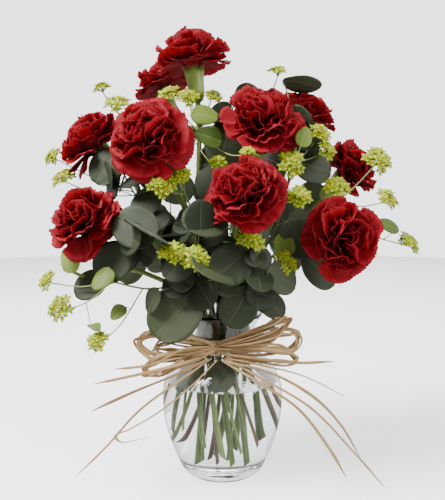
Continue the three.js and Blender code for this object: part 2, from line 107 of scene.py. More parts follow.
def unit(v):
    return v / np.maximum(np.linalg.norm(v, axis=-1, keepdims=True), 1e-9)


class Growth:
    """Gathers the surfaces of one piece, in millimetres, and makes its mesh."""

    def __init__(self):
        self.points, self.faces, self.uvs, self.tones, self.slots = [], [], [], [], []

    def add(self, points, faces, uvs, tone=0.5, slot=0):
        first = len(self.points)
        self.points.extend(points)
        self.faces.extend([tuple(first + i for i in face) for face in faces])
        self.uvs.extend(uvs)
        self.tones.extend(np.broadcast_to(tone, len(points)))
        self.slots.extend(np.broadcast_to(slot, len(faces)))

    def rings(self, points, closed=False, tone=0.5, slot=0):
        """Joins rings of points, which turn clockwise seen from the first, into a skin."""
        count, sides = points.shape[:2]
        faces, uvs = [], []
        for i in range(count if closed else count - 1):
            n = (i + 1) % count
            for j in range(sides):
                k = (j + 1) % sides
                faces.append((i * sides + j, i * sides + k, n * sides + k, n * sides + j))
                u, v, w, x = j / sides, i / (count - 1), (j + 1) / sides, (i + 1) / (count - 1)
                uvs.extend([(u, v), (w, v), (w, x), (u, x)])
        if not closed:
            faces.append(tuple(range(sides - 1, -1, -1)))
            faces.append(tuple((count - 1) * sides + j for j in range(sides)))
            uvs.extend([(0.5, 0)] * sides + [(0.5, 1)] * sides)
        tone = np.repeat(np.broadcast_to(tone, count), sides)
        self.add(points.reshape(-1, 3), faces, uvs, tone, slot)

    def rod(self, path, section, tone=0.5, slot=0, closed=False, slant=0.0):
        """Sweeps section(i), a clockwise ring of (side, up) offsets, along the path."""
        path = np.array(path, float)
        tangent = unit(np.gradient(path, axis=0))
        up = np.array([0, -1.0, 0]) if abs(tangent[0][2]) > 0.8 else np.array([0, 0, 1.0])
        rings = []
        for i in range(len(path)):
            up = unit(up - tangent[i] * up.dot(tangent[i]))
            offsets = np.array(section(i))
            ring = path[i] + offsets[:, :1] * np.cross(tangent[i], up) + offsets[:, 1:] * up
            if i == 0:
                ring = ring + tangent[0] * slant * offsets[:, :1]
            rings.append(ring)
        self.rings(np.array(rings), closed, tone, slot)

    def sheet(self, grid, uv, thickness, tone=0.5, slot=0, under=None):
        """A thin closed sheet round a grid of points; uv is its grid of pattern places."""
        rows, cols = grid.shape[:2]
        normal = unit(np.cross(np.gradient(grid, axis=0), np.gradient(grid, axis=1)))
        both = np.concatenate([
            (grid + normal * thickness / 2).reshape(-1, 3),
            (grid - normal * thickness / 2).reshape(-1, 3)])
        flat_uv = uv.reshape(-1, 2)
        half = rows * cols
        faces, slots = [], []
        for i in range(rows - 1):
            for j in range(cols - 1):
                a = i * cols + j
                faces.append((a, a + cols, a + cols + 1, a + 1))
                faces.append((half + a, half + a + 1, half + a + cols + 1, half + a + cols))
                slots += [slot, slot if under is None else under]
        rim = list(range(cols))
        rim += [i * cols + cols - 1 for i in range(1, rows)]
        rim += [(rows - 1) * cols + j for j in range(cols - 2, -1, -1)]
        rim += [i * cols for i in range(rows - 2, 0, -1)]
        for a, b in zip(rim, rim[1:] + rim[:1]):
            faces.append((a, b, half + b, half + a))
            slots.append(slot)
        uvs = [tuple(flat_uv[i % half]) for face in faces for i in face]
        self.add(both, faces, uvs, tone, slots)

    def piece(self, name, *materials):
        """The finished mesh, in metres, smooth, with its pattern places and tones."""
        mesh = bpy.data.meshes.new(name)
        mesh.from_pydata([tuple(p) for p in np.array(self.points) * MM], [], self.faces)
        mesh.uv_layers.new(name="pattern").data.foreach_set("uv", np.array(self.uvs).ravel())
        tone = mesh.attributes.new("tone", "FLOAT", "POINT")
        tone.data.foreach_set("value", np.array(self.tones, np.float32))
        mesh.polygons.foreach_set("use_smooth", [True] * len(self.faces))
        mesh.polygons.foreach_set("material_index", np.array(self.slots, np.int32))
        for material in materials:
            mesh.materials.append(material)
        mesh.update()
        made = bpy.data.objects.new(name, mesh)
        bpy.context.scene.collection.objects.link(made)
        return made


def add_node(tree, kind, values=None, **settings):
    """A new node, with the values of its inputs set, or linked where a value is a socket."""
    made = tree.nodes.new(kind)
    for key, value in settings.items():
        setattr(made, key, value)
    for key, value in (values or {}).items():
        if isinstance(value, bpy.types.NodeSocket):
            tree.links.new(value, made.inputs[key])
        else:
            made.inputs[key].default_value = value
    return made


def node_group(name, kind, inputs, outputs):
    """An empty node group with its sockets, each given as a name and a kind."""
    tree = bpy.data.node_groups.new(name, kind)
    for way, sockets in (("INPUT", inputs), ("OUTPUT", outputs)):
        for label, what in sockets:
            tree.interface.new_socket(label, in_out=way, socket_type=f"NodeSocket{what}")
    return tree


class Finish:
    """A material's node tree, or another given, with short calls to add nodes and join them."""

    def __init__(self, name, tree=None):
        self.tree = tree
        if not tree:
            self.material = bpy.data.materials.new(name)
            self.material.use_nodes = True
            self.tree = self.material.node_tree
            self.shader = self.tree.nodes["Principled BSDF"]

    def add(self, kind, values=None, **settings):
        return add_node(self.tree, kind, values, **settings)

    def maths(self, operation, a, b=0.5):
        return self.add("ShaderNodeMath", {0: a, 1: b}, operation=operation).outputs[0]

    def blend(self, factor, a, b, how="MIX"):
        values = {0: factor, 6: a, 7: b}
        return self.add("ShaderNodeMix", values, data_type="RGBA", blend_type=how).outputs[2]

    def times(self, *colours):
        """The product of the colours."""
        product, *rest = colours
        for colour in rest:
            product = self.blend(1.0, product, colour, "MULTIPLY")
        return product

    def ramp(self, factor, *stops):
        made = self.add("ShaderNodeValToRGB", {0: factor})
        while len(made.color_ramp.elements) < len(stops):
            made.color_ramp.elements.new(0.5)
        for element, (place, colour) in zip(made.color_ramp.elements, stops):
            element.position = place
            element.color = colour
        return made.outputs[0]

    def noise(self, place, scale, detail):
        values = {"Vector": place, "Scale": scale, "Detail": detail}
        return self.add("ShaderNodeTexNoise", values).outputs[0]

    def pattern(self):
        return self.add("ShaderNodeUVMap", uv_map="pattern").outputs[0]

    def place(self):
        return self.add("ShaderNodeTexCoord").outputs["Object"]

    def tone(self):
        return self.add("ShaderNodeAttribute", attribute_name="tone").outputs["Fac"]

    def group(self, tree, *values):
        return self.add("ShaderNodeGroup", dict(enumerate(values)), node_tree=tree).outputs

    def bump(self, height, strength, distance):
        values = {"Strength": strength, "Distance": distance, "Height": height}
        self.set(Normal=self.add("ShaderNodeBump", values).outputs[0])

    def set(self, **values):
        """Sets or links the shader's own sockets, with _ for a space in a name."""
        for key, value in values.items():
            socket = self.shader.inputs[key.replace("_", " ")]
            if isinstance(value, bpy.types.NodeSocket):
                self.tree.links.new(value, socket)
            else:
                socket.default_value = value


def grey(value):
    return (value, value, value, 1)


def streak_group():
    """Noise drawn out along the pattern, as fibres and veins are."""
    f = Finish("streaks", node_group(
        "long_streaks", "ShaderNodeTree",
        [("Stretch", "Vector"), ("Scale", "Float"), ("Detail", "Float")], [("Height", "Float")]))
    given = f.add("NodeGroupInput").outputs
    long = f.add("ShaderNodeMapping", {0: f.pattern(), 3: given[0]}).outputs[0]
    f.add("NodeGroupOutput", {0: f.noise(long, given[1], given[2])})
    return f.tree


streaks = streak_group()


def raffia_finish():
    """Dry straw colour with long fibres, darker and lighter streaks and a faint shine."""
    f = Finish("raffia")
    fibres = f.group(streaks, (26, 3, 1), 1.6, 4)[0]
    straw = f.ramp(fibres, (0.3, (0.17, 0.10, 0.035, 1)), (0.5, (0.38, 0.255, 0.11, 1)),
                   (0.72, (0.56, 0.40, 0.19, 1)))
    shade = f.ramp(f.tone(), (0, (0.50, 0.38, 0.30, 1)), (0.35, (0.80, 0.72, 0.64, 1)),
                   (1, (1, 0.98, 0.92, 1)))
    f.set(Base_Color=f.times(straw, shade), Roughness=0.62)
    f.set(Sheen_Weight=0.15, Specular_IOR_Level=0.35)
    f.bump(fibres, 0.5, 0.0003)
    return f.material


raffia = raffia_finish()


def strand(growth, path, width, seed, tip=True):
    """One split strand: a flat ribbon, folded along its middle, that turns as it goes."""
    rng = np.random.default_rng(seed)
    count = len(path)
    phase, turns = rng.normal(math.pi / 2, 0.4), rng.uniform(-0.3, 0.3)
    wobble = rng.uniform(0.75, 1.1, 5)
    fold = rng.uniform(0.1, 0.3)

    def section(i):
        t = i / (count - 1)
        half = 0.5 * width * np.interp(t * 4, range(5), wobble)
        if tip:
            half *= min(1, 0.25 + 5 * (1 - t))
        angle = phase + turns * math.pi * t
        ring = []
        for side, face in STRAND_SECTION:
            x = side * half
            y = face * STRAND_THICKNESS / 2 + fold * (abs(side) - 0.5) * half
            ring.append((x * math.cos(angle) - y * math.sin(angle),
                         x * math.sin(angle) + y * math.cos(angle)))
        return ring

    growth.rod(path, section, tone=rng.uniform(0, 1))


for number, (name, route) in enumerate(TAILS.items()):
    width = STRAND_WIDTH * (1.0 if number % 3 else 0.8)
    path = through(route, 44)
    growth = Growth()
    strand(growth, path, width, 40 + number)
    tail = growth.piece(name.replace("raffia_tail", "tail_strand"), raffia)
    length = np.linalg.norm(np.diff(path, axis=0), axis=1).sum()
    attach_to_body(tail, "root")
    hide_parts(name)


# ---- Raffia bow ----
# A bunch of the same strands is passed round the neck and tied in front in a shoelace bow:
# a band, a knot of strands wound tight, and loops of several strands on each side.
KNOT = np.array([-7, -36, 131])
LOOPS = {
    "raffia_loops_left": [
        [(-38, -44, 142), (-66, -47, 146), (-76, -49, 138), (-66, -52, 128), (-34, -49, 127)],
        [(-40, -50, 130), (-62, -56, 124), (-71, -55, 114), (-58, -58, 113), (-32, -52, 124)],
        [(-36, -40, 136), (-54, -43, 138), (-60, -46, 133), (-50, -46, 131), (-30, -43, 130)]],
    "raffia_loops_right": [
        [(24, -46, 146), (48, -46, 158), (60, -44, 159), (50, -48, 150), (22, -50, 140)],
        [(28, -45, 139), (56, -44, 148), (68, -44, 143), (64, -46, 132), (30, -50, 131)],
        [(26, -48, 133), (56, -48, 133), (68, -48, 123), (54, -52, 122), (22, -52, 125)],
        [(22, -42, 140), (44, -40, 150), (52, -40, 146), (42, -44, 140), (20, -44, 135)]],
}
STRANDS_IN_A_LOOP = 5

for name, loops in LOOPS.items():
    growth = Growth()
    for i, loop in enumerate(loops):
        for k in range(STRANDS_IN_A_LOOP):
            rng = np.random.default_rng(200 + 10 * i + k + len(loops))
            spread = rng.uniform(-3.4, 3.4, (len(loop), 3)) * (1, 0.6, 1)
            out = KNOT + (0, -1 - 0.5 * k, 3.5 - 2.0 * i)
            back = KNOT + (0, -2 - 0.5 * k, 2.5 - 2.2 * i)
            path = through([out, *(np.array(loop) + spread), back], 40)
            strand(growth, path, rng.uniform(1.8, 3.8), 300 + 10 * i + k, tip=False)
    side = growth.piece(name.replace("raffia_loops", "bow_loops"), raffia)
    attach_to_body(side, "root")
    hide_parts(name)

growth = Growth()
for i, lean in enumerate((-0.5, -0.2, 0.1, 0.4, 0.75)):
    turn = np.linspace(0, 2 * math.pi, 29)[:-1]
    across = -3.6 + 1.8 * i + 1.2 * lean * np.sin(turn)
    ring = np.stack([across, 4.6 * np.cos(turn), 6.4 * np.sin(turn)], axis=1) + KNOT
    ring += 0.35 * np.random.default_rng(i).normal(size=ring.shape)
    flat = [(-1.5, 0), (-0.8, 0.4), (0.8, 0.4), (1.5, 0), (0.8, -0.4), (-0.8, -0.4)]
    growth.rod(ring, lambda j: flat, tone=0.3 + 0.12 * i, closed=True)
for i in range(9):
    rng = np.random.default_rng(70 + i)
    middle = KNOT + (0, rng.uniform(-2.4, 2.4), rng.uniform(-4, 4))
    reach = np.array([11, 0, 0]) + rng.uniform(-1, 1, 3) * (0, 2.5, 4)
    strand(growth, through([middle - reach, middle, middle + reach], 12), 2.4, 80 + i, tip=False)
knot = growth.piece("bow_knot", raffia)
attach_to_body(knot, "root")
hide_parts("raffia_knot")

growth = Growth()
for i in range(9):
    rng = np.random.default_rng(90 + i)
    turn = np.linspace(0, 2 * math.pi, 73)[:-1]
    height = 125.5 + 1.15 * i + 1.3 * np.sin(turn + rng.uniform(0, 6)) * rng.uniform(0.3, 1)
    away = 29.9 + 0.9 * (i % 2) + 0.3 * np.sin(3 * turn + i)
    ring = np.stack([away * np.cos(turn), away * np.sin(turn), height], axis=1)
    growth.rod(ring, lambda j: [(-0.2, -1.2), (-0.45, 0), (-0.2, 1.2), (0.25, 0)],
               tone=rng.uniform(0.1, 1), closed=True)
band = growth.piece("neck_band", raffia)
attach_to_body(band, "root")
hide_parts("raffia_wrap")


# ---- Vase ----
# A clear pressed-glass urn with a thick base, a round belly, a narrow neck and a flared,
# fire-polished rim. It is turned from one wall outline, outside up and inside down.
GLASS_OUTSIDE = [
    (0, 1.4), (20, 1.2), (26, 0.2), (31, 0), (38, 5.5), (43, 15), (48.5, 28), (53, 42), (56.5, 58),
    (57.7, 75), (56.5, 88), (52.5, 99), (45, 109), (36.5, 117), (30.5, 122), (28.5, 127),
    (29.3, 137), (33.4, 149), (38.3, 157), (37.6, 158.4)]
GLASS_INSIDE = [
    (36.6, 158.2), (35.4, 157), (30.7, 150), (26.5, 137), (25.7, 127), (27.8, 120.5),
    (33.6, 114.6), (42.2, 106.5), (49.6, 97.3), (53.6, 87.2), (54.8, 75), (53.6, 58.5), (50.2, 43),
    (45.6, 29), (39.5, 18.5), (30, 12.2), (15, 10.3), (0, 10)]
TURNS = 128


def turned(outline, name, second, *materials):
    """A body turned from an outline of (radius, height) that starts and ends on the axis.

    The steps of the outline whose numbers are in second take the second material."""
    turn = np.linspace(0, 2 * math.pi, TURNS + 1)[:-1]
    rings = np.array([
        [(max(r, 0.02) * math.cos(a), max(r, 0.02) * math.sin(a), z) for a in turn]
        for r, z in outline])
    slots = np.repeat([int(i in second) for i in range(len(outline) - 1)], TURNS)
    growth = Growth()
    growth.rings(rings, slot=np.append(slots, (slots[0], slots[-1])))
    return growth.piece(name, *materials)


def clear_finish(name, bend, colour, streak):
    """A clear body with faint waves; lamps shine through it onto what lies behind."""
    f = Finish(name)
    waves = f.noise(f.place(), 22, 2)
    cloudy = f.ramp(f.noise(f.place(), 60, 5), (0.55, grey(0.0)), (0.75, grey(streak)))
    f.set(Base_Color=colour, Roughness=cloudy, IOR=bend, Transmission_Weight=1.0, Metallic=0.0)
    f.bump(waves, 0.12, 0.0006)
    ray = f.add("ShaderNodeLightPath").outputs["Is Shadow Ray"]
    through_light = f.add("ShaderNodeBsdfTransparent", {0: grey(0.93)}).outputs[0]
    mixed = f.add("ShaderNodeMixShader", {0: ray, 1: f.shader.outputs[0], 2: through_light})
    f.tree.links.new(mixed.outputs[0], f.tree.nodes["Material Output"].inputs[0])
    return f.material


def rounded(outline, count):
    """The outline redrawn with many points on a smooth curve."""
    return [(x, z) for x, _, z in through([(r, 0, z) for r, z in outline], count)]


# the water's surface and the height it wets the wall to
WATER_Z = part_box("water")[1].z / MM
WET_Z = WATER_Z + 0.9
GLASS = (0.985, 0.995, 0.99, 1)

outside = GLASS_OUTSIDE[:3] + rounded(GLASS_OUTSIDE[3:], 70)
inside = rounded(GLASS_INSIDE, 70)
inside[-1] = GLASS_INSIDE[-1]
wet = next(i for i, (r, z) in enumerate(inside) if z < WET_Z)
(r1, z1), (r2, z2) = inside[wet - 1:wet + 1]
inside.insert(wet, (r1 + (r2 - r1) * (WET_Z - z1) / (z2 - z1), WET_Z))
outline = outside + inside
vase = turned(outline, "glass_vase", range(len(outside) + wet, len(outline)),
              clear_finish("vase_glass", 1.5, GLASS, 0.05),
              clear_finish("wet_glass", 1.5 / 1.333, GLASS, 0.0))
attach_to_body(vase, "root")
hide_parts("vase")


# ---- Water ----
# Clear water fills the vase to below its shoulder. Its side lies just inside the wall's inner
# face, which bends light as glass against water does, so the side itself bends none. The water
# climbs a little at its edge.
SHY_OF_GLASS = 0.05

side = [(r - SHY_OF_GLASS, z) for r, z in inside[::-1] if 10.05 < z < WATER_Z - 0.6]
side[0] = (1, 10.05)
edge = side[-1][0]
surface = [(edge, WET_Z), (edge - 0.9, WATER_Z + 0.2), (edge - 2.5, WATER_Z)]
water = turned([(0, 10.05), *side, *surface, (10, WATER_Z), (0, WATER_Z)], "vase_water",
               range(len(side) + 1),
               clear_finish("water", 1.333, (0.98, 1, 0.99, 1), 0.0),
               clear_finish("water_side", 1.0, (1, 1, 1, 1), 0.0))
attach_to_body(water, "root")
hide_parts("water")


# ---- Carnation blooms ----
# Each bloom is nearly 50 petals in whorls on one axis. A petal leaves the mouth of the calyx as
# a narrow claw and spreads to a ruffled fan with a toothed edge. The outer ones lie open, the
# inner ones stand, folded and rolled against each other.
# where the stems pass: radius in the neck, degrees between stems, radius and height at the base
OUTER_RING = (20, 24, 31, 17)
INNER_RING = (11.5, 36, 17, 14)
# middle of the petals, the way the bloom faces, its radius, its stem's ring, its place there,
# how high the stem ends, and a point that the stem passes above the rim
CARNATIONS = [
    ((-29, 15, 403), (-0.12, 0.05, 1), 36, INNER_RING, 3, 2, (-22, 12, 280)),
    ((-61, 62, 381), (-0.3, 0.35, 0.9), 27, OUTER_RING, 5, 30, (-38, 44, 260)),
    ((-128, 12, 322), (-0.7, -0.25, 0.65), 34, OUTER_RING, 7, 24, (-72, 12, 235)),
    ((-64, -55, 324), (-0.15, -0.8, 0.55), 37, INNER_RING, 6, 4, (-34, -14, 255)),
    ((-125, -42, 252), (-0.35, -0.55, 0.76), 36, OUTER_RING, 8, 12, (-70, -14, 196)),
    ((19, -78, 277), (-0.1, -0.75, 0.65), 35, OUTER_RING, 12, 26, (13, -40, 215)),
    ((35, -28, 342), (0.05, -0.6, 0.8), 37, INNER_RING, 8, 0, (14, -12, 250)),
    ((82, 38, 348), (0.35, 0.1, 0.93), 32, OUTER_RING, 0.8, 2, (47, 25, 245)),
    ((127, 30, 296), (0.6, -0.35, 0.7), 31, OUTER_RING, 0, 8, (74, 17, 222)),
    ((109, -48, 234), (0.35, -0.9, 0.25), 36, OUTER_RING, 14, 16, (62, -14, 212)),
]
PETAL_THICKNESS = 0.3
CALYX_MOUTH = 17.7
# petals, bend from upright in degrees, length, half the fan's angle, ruffle, fold, the distance
# of its foot from the axis, and the most it rolls to one side in degrees
WHORLS = [
    (5, 106, 33, 40, 1.2, 0.03, 8.2, 10),
    (5, 92, 35, 42, 1.6, 0.05, 7.6, 14),
    (6, 76, 36, 42, 2.4, 0.10, 6.8, 22),
    (7, 60, 37, 40, 3.2, 0.20, 5.8, 32),
    (8, 43, 38, 36, 3.6, 0.34, 4.6, 42),
    (8, 27, 39, 31, 3.4, 0.52, 3.4, 52),
    (7, 14, 39, 27, 3.0, 0.70, 2.0, 60),
    (4, 4, 37, 24, 2.6, 0.90, 0.8, 66),
]
FLATTENED = 0.93


def facing(direction):
    """Three axes of which the last points along the direction."""
    z = unit(np.array(direction, float))
    helper = np.array([1.0, 0, 0]) if abs(z[0]) < 0.8 else np.array([0, 1.0, 0])
    x = unit(np.cross(helper, z))
    return np.stack([x, np.cross(z, x), z])


def petal(rng, bend, length, fan, ruffle, fold, foot, roll, cols=31, rows=12):
    """One petal's grid of points as (out from the axis, sideways, up) and its pattern places."""
    v = np.linspace(0, 1, rows)[:, None]
    u = np.linspace(-1, 1, cols)[None, :]
    fan = math.radians(fan)
    teeth = np.where(np.arange(cols) % 2, 1.0, -1.0) * rng.uniform(0.15, 0.75, cols)
    reach = length * v * (1 - 0.13 * u ** 4 * v + 0.04 * np.sin(2.6 * u + rng.uniform(0, 6)) * v)
    reach = reach + teeth[None, :] * v ** 6
    along = reach * np.cos(u * fan)
    side = 2.4 * (1 - v) * u + reach * np.sin(u * fan)
    step = np.linspace(0, 1.2 * length, 80)
    turn = np.clip(step / (0.5 * length), 0, 1)
    curl = math.radians(rng.uniform(-14, 26)) * np.clip(step / length - 0.6, 0, 1) / 0.4
    angle = math.radians(bend) * (0.3 + 0.7 * turn ** 2 * (3 - 2 * turn)) + curl
    out = np.concatenate([[0], np.cumsum(np.sin(angle[:-1]) * step[1])])
    rise = np.concatenate([[0], np.cumsum(np.cos(angle[:-1]) * step[1])])
    lean = np.interp(along, step, angle)
    a, b, c = rng.uniform(0, 2 * math.pi, 3)
    waves = rng.uniform(1.3, 2.3)
    lift = ruffle * v ** 1.8 * (
        np.sin(waves * math.pi * u + a) + 0.35 * np.sin(2.4 * waves * math.pi * u + b))
    lift = lift + 0.45 * v ** 3 * np.sin(6.5 * math.pi * u + c)
    lift = lift + fold * np.sqrt(side ** 2 + 4) * v
    rolled = math.radians(rng.uniform(-roll, roll)) * v
    side, lift = (side * np.cos(rolled) - lift * np.sin(rolled),
                  side * np.sin(rolled) + lift * np.cos(rolled))
    grid = np.stack([
        foot + np.interp(along, step, out) - lift * np.cos(lean),
        side,
        np.interp(along, step, rise) + lift * np.sin(lean)], axis=-1)
    places = np.stack([0.5 + 0.5 * u + 0 * v, v + 0 * u], axis=-1)
    return grid, places


def mottle_group():
    """Uneven colour over a living surface: darker and lighter patches, and their height."""
    f = Finish("mottle", node_group(
        "plant_mottle", "ShaderNodeTree", [("Colour", "Color"), ("Scale", "Float"), ("Depth", "Float")],
        [("Colour", "Color"), ("Height", "Float")]))
    given = f.add("NodeGroupInput").outputs
    noise = f.noise(f.place(), given[1], 4)
    shade = f.maths("ADD", f.maths("MULTIPLY", f.maths("SUBTRACT", noise, 0.5), given[2]), 1.0)
    tint = f.add("ShaderNodeCombineColor", {0: shade, 1: shade, 2: shade}).outputs[0]
    f.add("NodeGroupOutput", {0: f.times(given[0], tint), 1: noise})
    return f.tree


mottle = mottle_group()


def petal_finish():
    """Deep velvety red, paler at the claw, darker at the toothed edge, with fine fan veins, a painted
    highlight towards the outer blade and painted shade on the inner whorls.
    """
    f = Finish("carnation_petals")
    along = f.add("ShaderNodeSeparateXYZ", {0: f.pattern()}).outputs[1]
    veins = f.group(streaks, (34, 1.1, 1), 1.6, 3)[0]
    # Pale at the claw and darker at the toothed rim, as the petal is; between them the red grows lighter
    # towards the outer blade, a painted highlight on the part of the petal that the light reaches.
    body = f.ramp(along, (0.0, (0.40, 0.22, 0.12, 1)), (0.16, (0.15, 0.003, 0.005, 1)),
                  (0.55, (0.18, 0.0015, 0.006, 1)), (0.95, (0.22, 0.002, 0.008, 1)),
                  (1.0, (0.13, 0.001, 0.006, 1)))
    fine = f.ramp(veins, (0.32, grey(0.78)), (0.68, grey(1.0)))
    # The tone darkens each petal a little, at random and more on the inner whorls: painted shade deep in
    # the bloom.
    shade = f.ramp(f.tone(), (0, (0.70, 0.60, 0.70, 1)), (1, grey(1.0)))
    f.set(Base_Color=f.group(mottle, f.times(body, fine, shade), 70.0, 0.5)[0], Roughness=0.68)
    f.set(Specular_IOR_Level=0.12, Subsurface_Weight=0.3, Subsurface_Scale=0.002)
    f.bump(veins, 0.4, 0.0004)
    return f.material


petals = petal_finish()

for number, (middle, direction, radius, *_) in enumerate(CARNATIONS, start=1):
    rng = np.random.default_rng(number)
    size = radius / 37
    growth = Growth()
    for k, (count, bend, *shape) in enumerate(WHORLS):
        for i in range(count):
            if k < 3 and rng.random() < 0.2:
                continue
            turn = 2 * math.pi * (i / count + 0.381 * k) + rng.normal(0, 0.16)
            shape_now = [shape[0] * rng.uniform(0.82, 1.09), *shape[1:]]
            grid, places = petal(rng, bend + rng.normal(0, 9), *shape_now)
            grid = (grid * (1, 1, FLATTENED) - (0, 0, CALYX_MOUTH)) * size
            out, side, up = np.moveaxis(grid, -1, 0)
            spun = np.stack([
                out * math.cos(turn) - side * math.sin(turn),
                out * math.sin(turn) + side * math.cos(turn), up], axis=-1)
            # The tone is random, but drifts darker towards the inner whorls: painted shade deep in the
            # bloom.
            tone = np.clip(rng.normal(0.75 - 0.06 * k, 0.16), 0, 1)
            growth.sheet(spun @ facing(direction) + middle, places, PETAL_THICKNESS, tone)
    head = growth.piece(f"bloom_{number}", petals)
    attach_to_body(head, "root")
    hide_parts(f"carnation_bloom_{number}")


# ---- Carnation stems ----
# Each bloom sits in a calyx, a stout ribbed green tube with five teeth, on a smooth stem with
# swollen joints. The stem leans out of the vase's neck and ends in a slanted cut in the water.
STEM_RADIUS = 2.3
CALYX_LENGTH = 30
# radius and height of the calyx, up its outside and down inside its mouth
CALYX_OUTSIDE = [(2.6, -1), (4.8, 0.5), (6.8, 4), (7.8, 11), (8.2, 19), (9.0, 25), (10, 30)]
CALYX_INSIDE = [(9.3, 29.6), (8.2, 25), (7.0, 22), (0.02, 22)]
# an unopened bud on a side shoot of the fifth stem, and its radius and height
BUDS = {5: (-136, -42, 213)}
BUD_OUTLINE = [
    (0.02, -12), (3, -11.6), (6.6, -9), (8.3, -4), (8.5, 2), (7.8, 7), (5.6, 10.6), (2.4, 12),
    (0.02, 11)]


def stem_foot(ring, slot, end):
    """The points a stem passes: its cut end, half-way down, the neck and above the rim."""
    neck_radius, step, foot_radius, foot_z = ring
    rim = math.radians(slot * step)
    neck, foot = rim + math.radians(29), rim + math.radians(79)
    spread = foot_radius + 0.42 * end
    in_neck = np.array([neck_radius * math.cos(neck), neck_radius * math.sin(neck), 127])
    at_foot = np.array([spread * math.cos(foot), spread * math.sin(foot), foot_z + end])
    half_way = (in_neck + at_foot) / 2 * (1.06, 1.06, 1)
    above = 1.12 * neck_radius
    return [at_foot, half_way, in_neck, (above * math.cos(rim), above * math.sin(rim), 166)]


def circle(radius, sides=12):
    turn = np.linspace(0, -2 * math.pi, sides + 1)[:-1]
    return np.stack([radius * np.cos(turn), radius * np.sin(turn)], axis=1)


def calyx(growth, base, axes, size):
    turn = np.linspace(0, 2 * math.pi, 61)[:-1]
    tooth = 3.6 * np.abs((turn * 5 / (2 * math.pi)) % 1 * 2 - 1)
    ribs = 1 + 0.022 * np.cos(20 * turn)
    rings = []
    for r, z in CALYX_OUTSIDE + CALYX_INSIDE:
        radius = r * size * (ribs if r > 3 else 1)
        height = z + tooth * min(max((z - 22) / 8, 0), 1)
        rings.append(np.stack([radius * np.cos(turn), radius * np.sin(turn), height], axis=-1))
    growth.rings(np.array(rings) @ axes + base, tone=0.85)


def bud(growth, base, axes, middle):
    """A bud on its stalk, which leaves the stem just below the calyx's base."""
    path = through([base - 6 * axes[2], middle + (12, 12, -16), middle - (0, 0, 10)], 16)
    growth.rod(path, lambda i: circle(1.5), tone=0.7)
    turn = np.linspace(0, 2 * math.pi, 41)[:-1]
    lobed = 1 + 0.04 * np.cos(5 * turn)
    rings = np.array([
        np.stack([r * np.cos(turn) * lobed, r * np.sin(turn) * lobed, z + 0 * turn], axis=-1)
        for r, z in BUD_OUTLINE])
    growth.rings(rings + middle, tone=np.linspace(1, 0.75, len(rings)))


def green_finish():
    """Waxy fresh green: pale and ribbed on the calyx, darker on the stem, with long streaks."""
    f = Finish("carnation_green")
    long = f.group(streaks, (22, 1.5, 1), 1.5, 3)[0]
    body = f.ramp(f.tone(), (0, (0.022, 0.042, 0.007, 1)), (0.4, (0.055, 0.095, 0.012, 1)),
                  (0.7, (0.14, 0.20, 0.025, 1)), (1, (0.24, 0.33, 0.055, 1)))
    fine = f.ramp(long, (0.35, grey(0.75)), (0.65, grey(1.0)))
    f.set(Base_Color=f.group(mottle, f.times(body, fine), 60.0, 0.5)[0])
    f.set(Roughness=0.42, Specular_IOR_Level=0.45)
    f.bump(long, 0.3, 0.0003)
    return f.material


carnation_green = green_finish()

for number, (middle, direction, radius, ring, slot, end, via) in enumerate(CARNATIONS, start=1):
    rng = np.random.default_rng(500 + number)
    axes = facing(direction)
    size = (radius / 37) ** 0.5
    base = np.array(middle) - axes[2] * (17 * radius / 37 + 0.7 + CALYX_LENGTH)
    growth = Growth()
    if number in BUDS:
        bud(growth, base, axes, np.array(BUDS[number]))
    calyx(growth, base, axes, size)
    route = [*stem_foot(ring, slot, end), via, base - 14 * axes[2], base + axes[2]]
    path = through(route, 110)
    joints = rng.uniform(0.2, 0.95, 3) * len(path)
    tones = rng.uniform(0.15, 0.5) + 0.25 * np.linspace(0, 1, len(path)) ** 2
    growth.rod(path, lambda i: circle(STEM_RADIUS * (
        1 + 0.32 * sum(math.exp(-((i - joint) / 1.1) ** 2) for joint in joints))),
        tone=tones, slant=rng.choice([-1, 1]) * 1.1)
    stem = growth.piece(f"carnation_stalk_{number}", carnation_green)
    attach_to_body(stem, "root")
    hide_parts(f"carnation_stem_{number}")


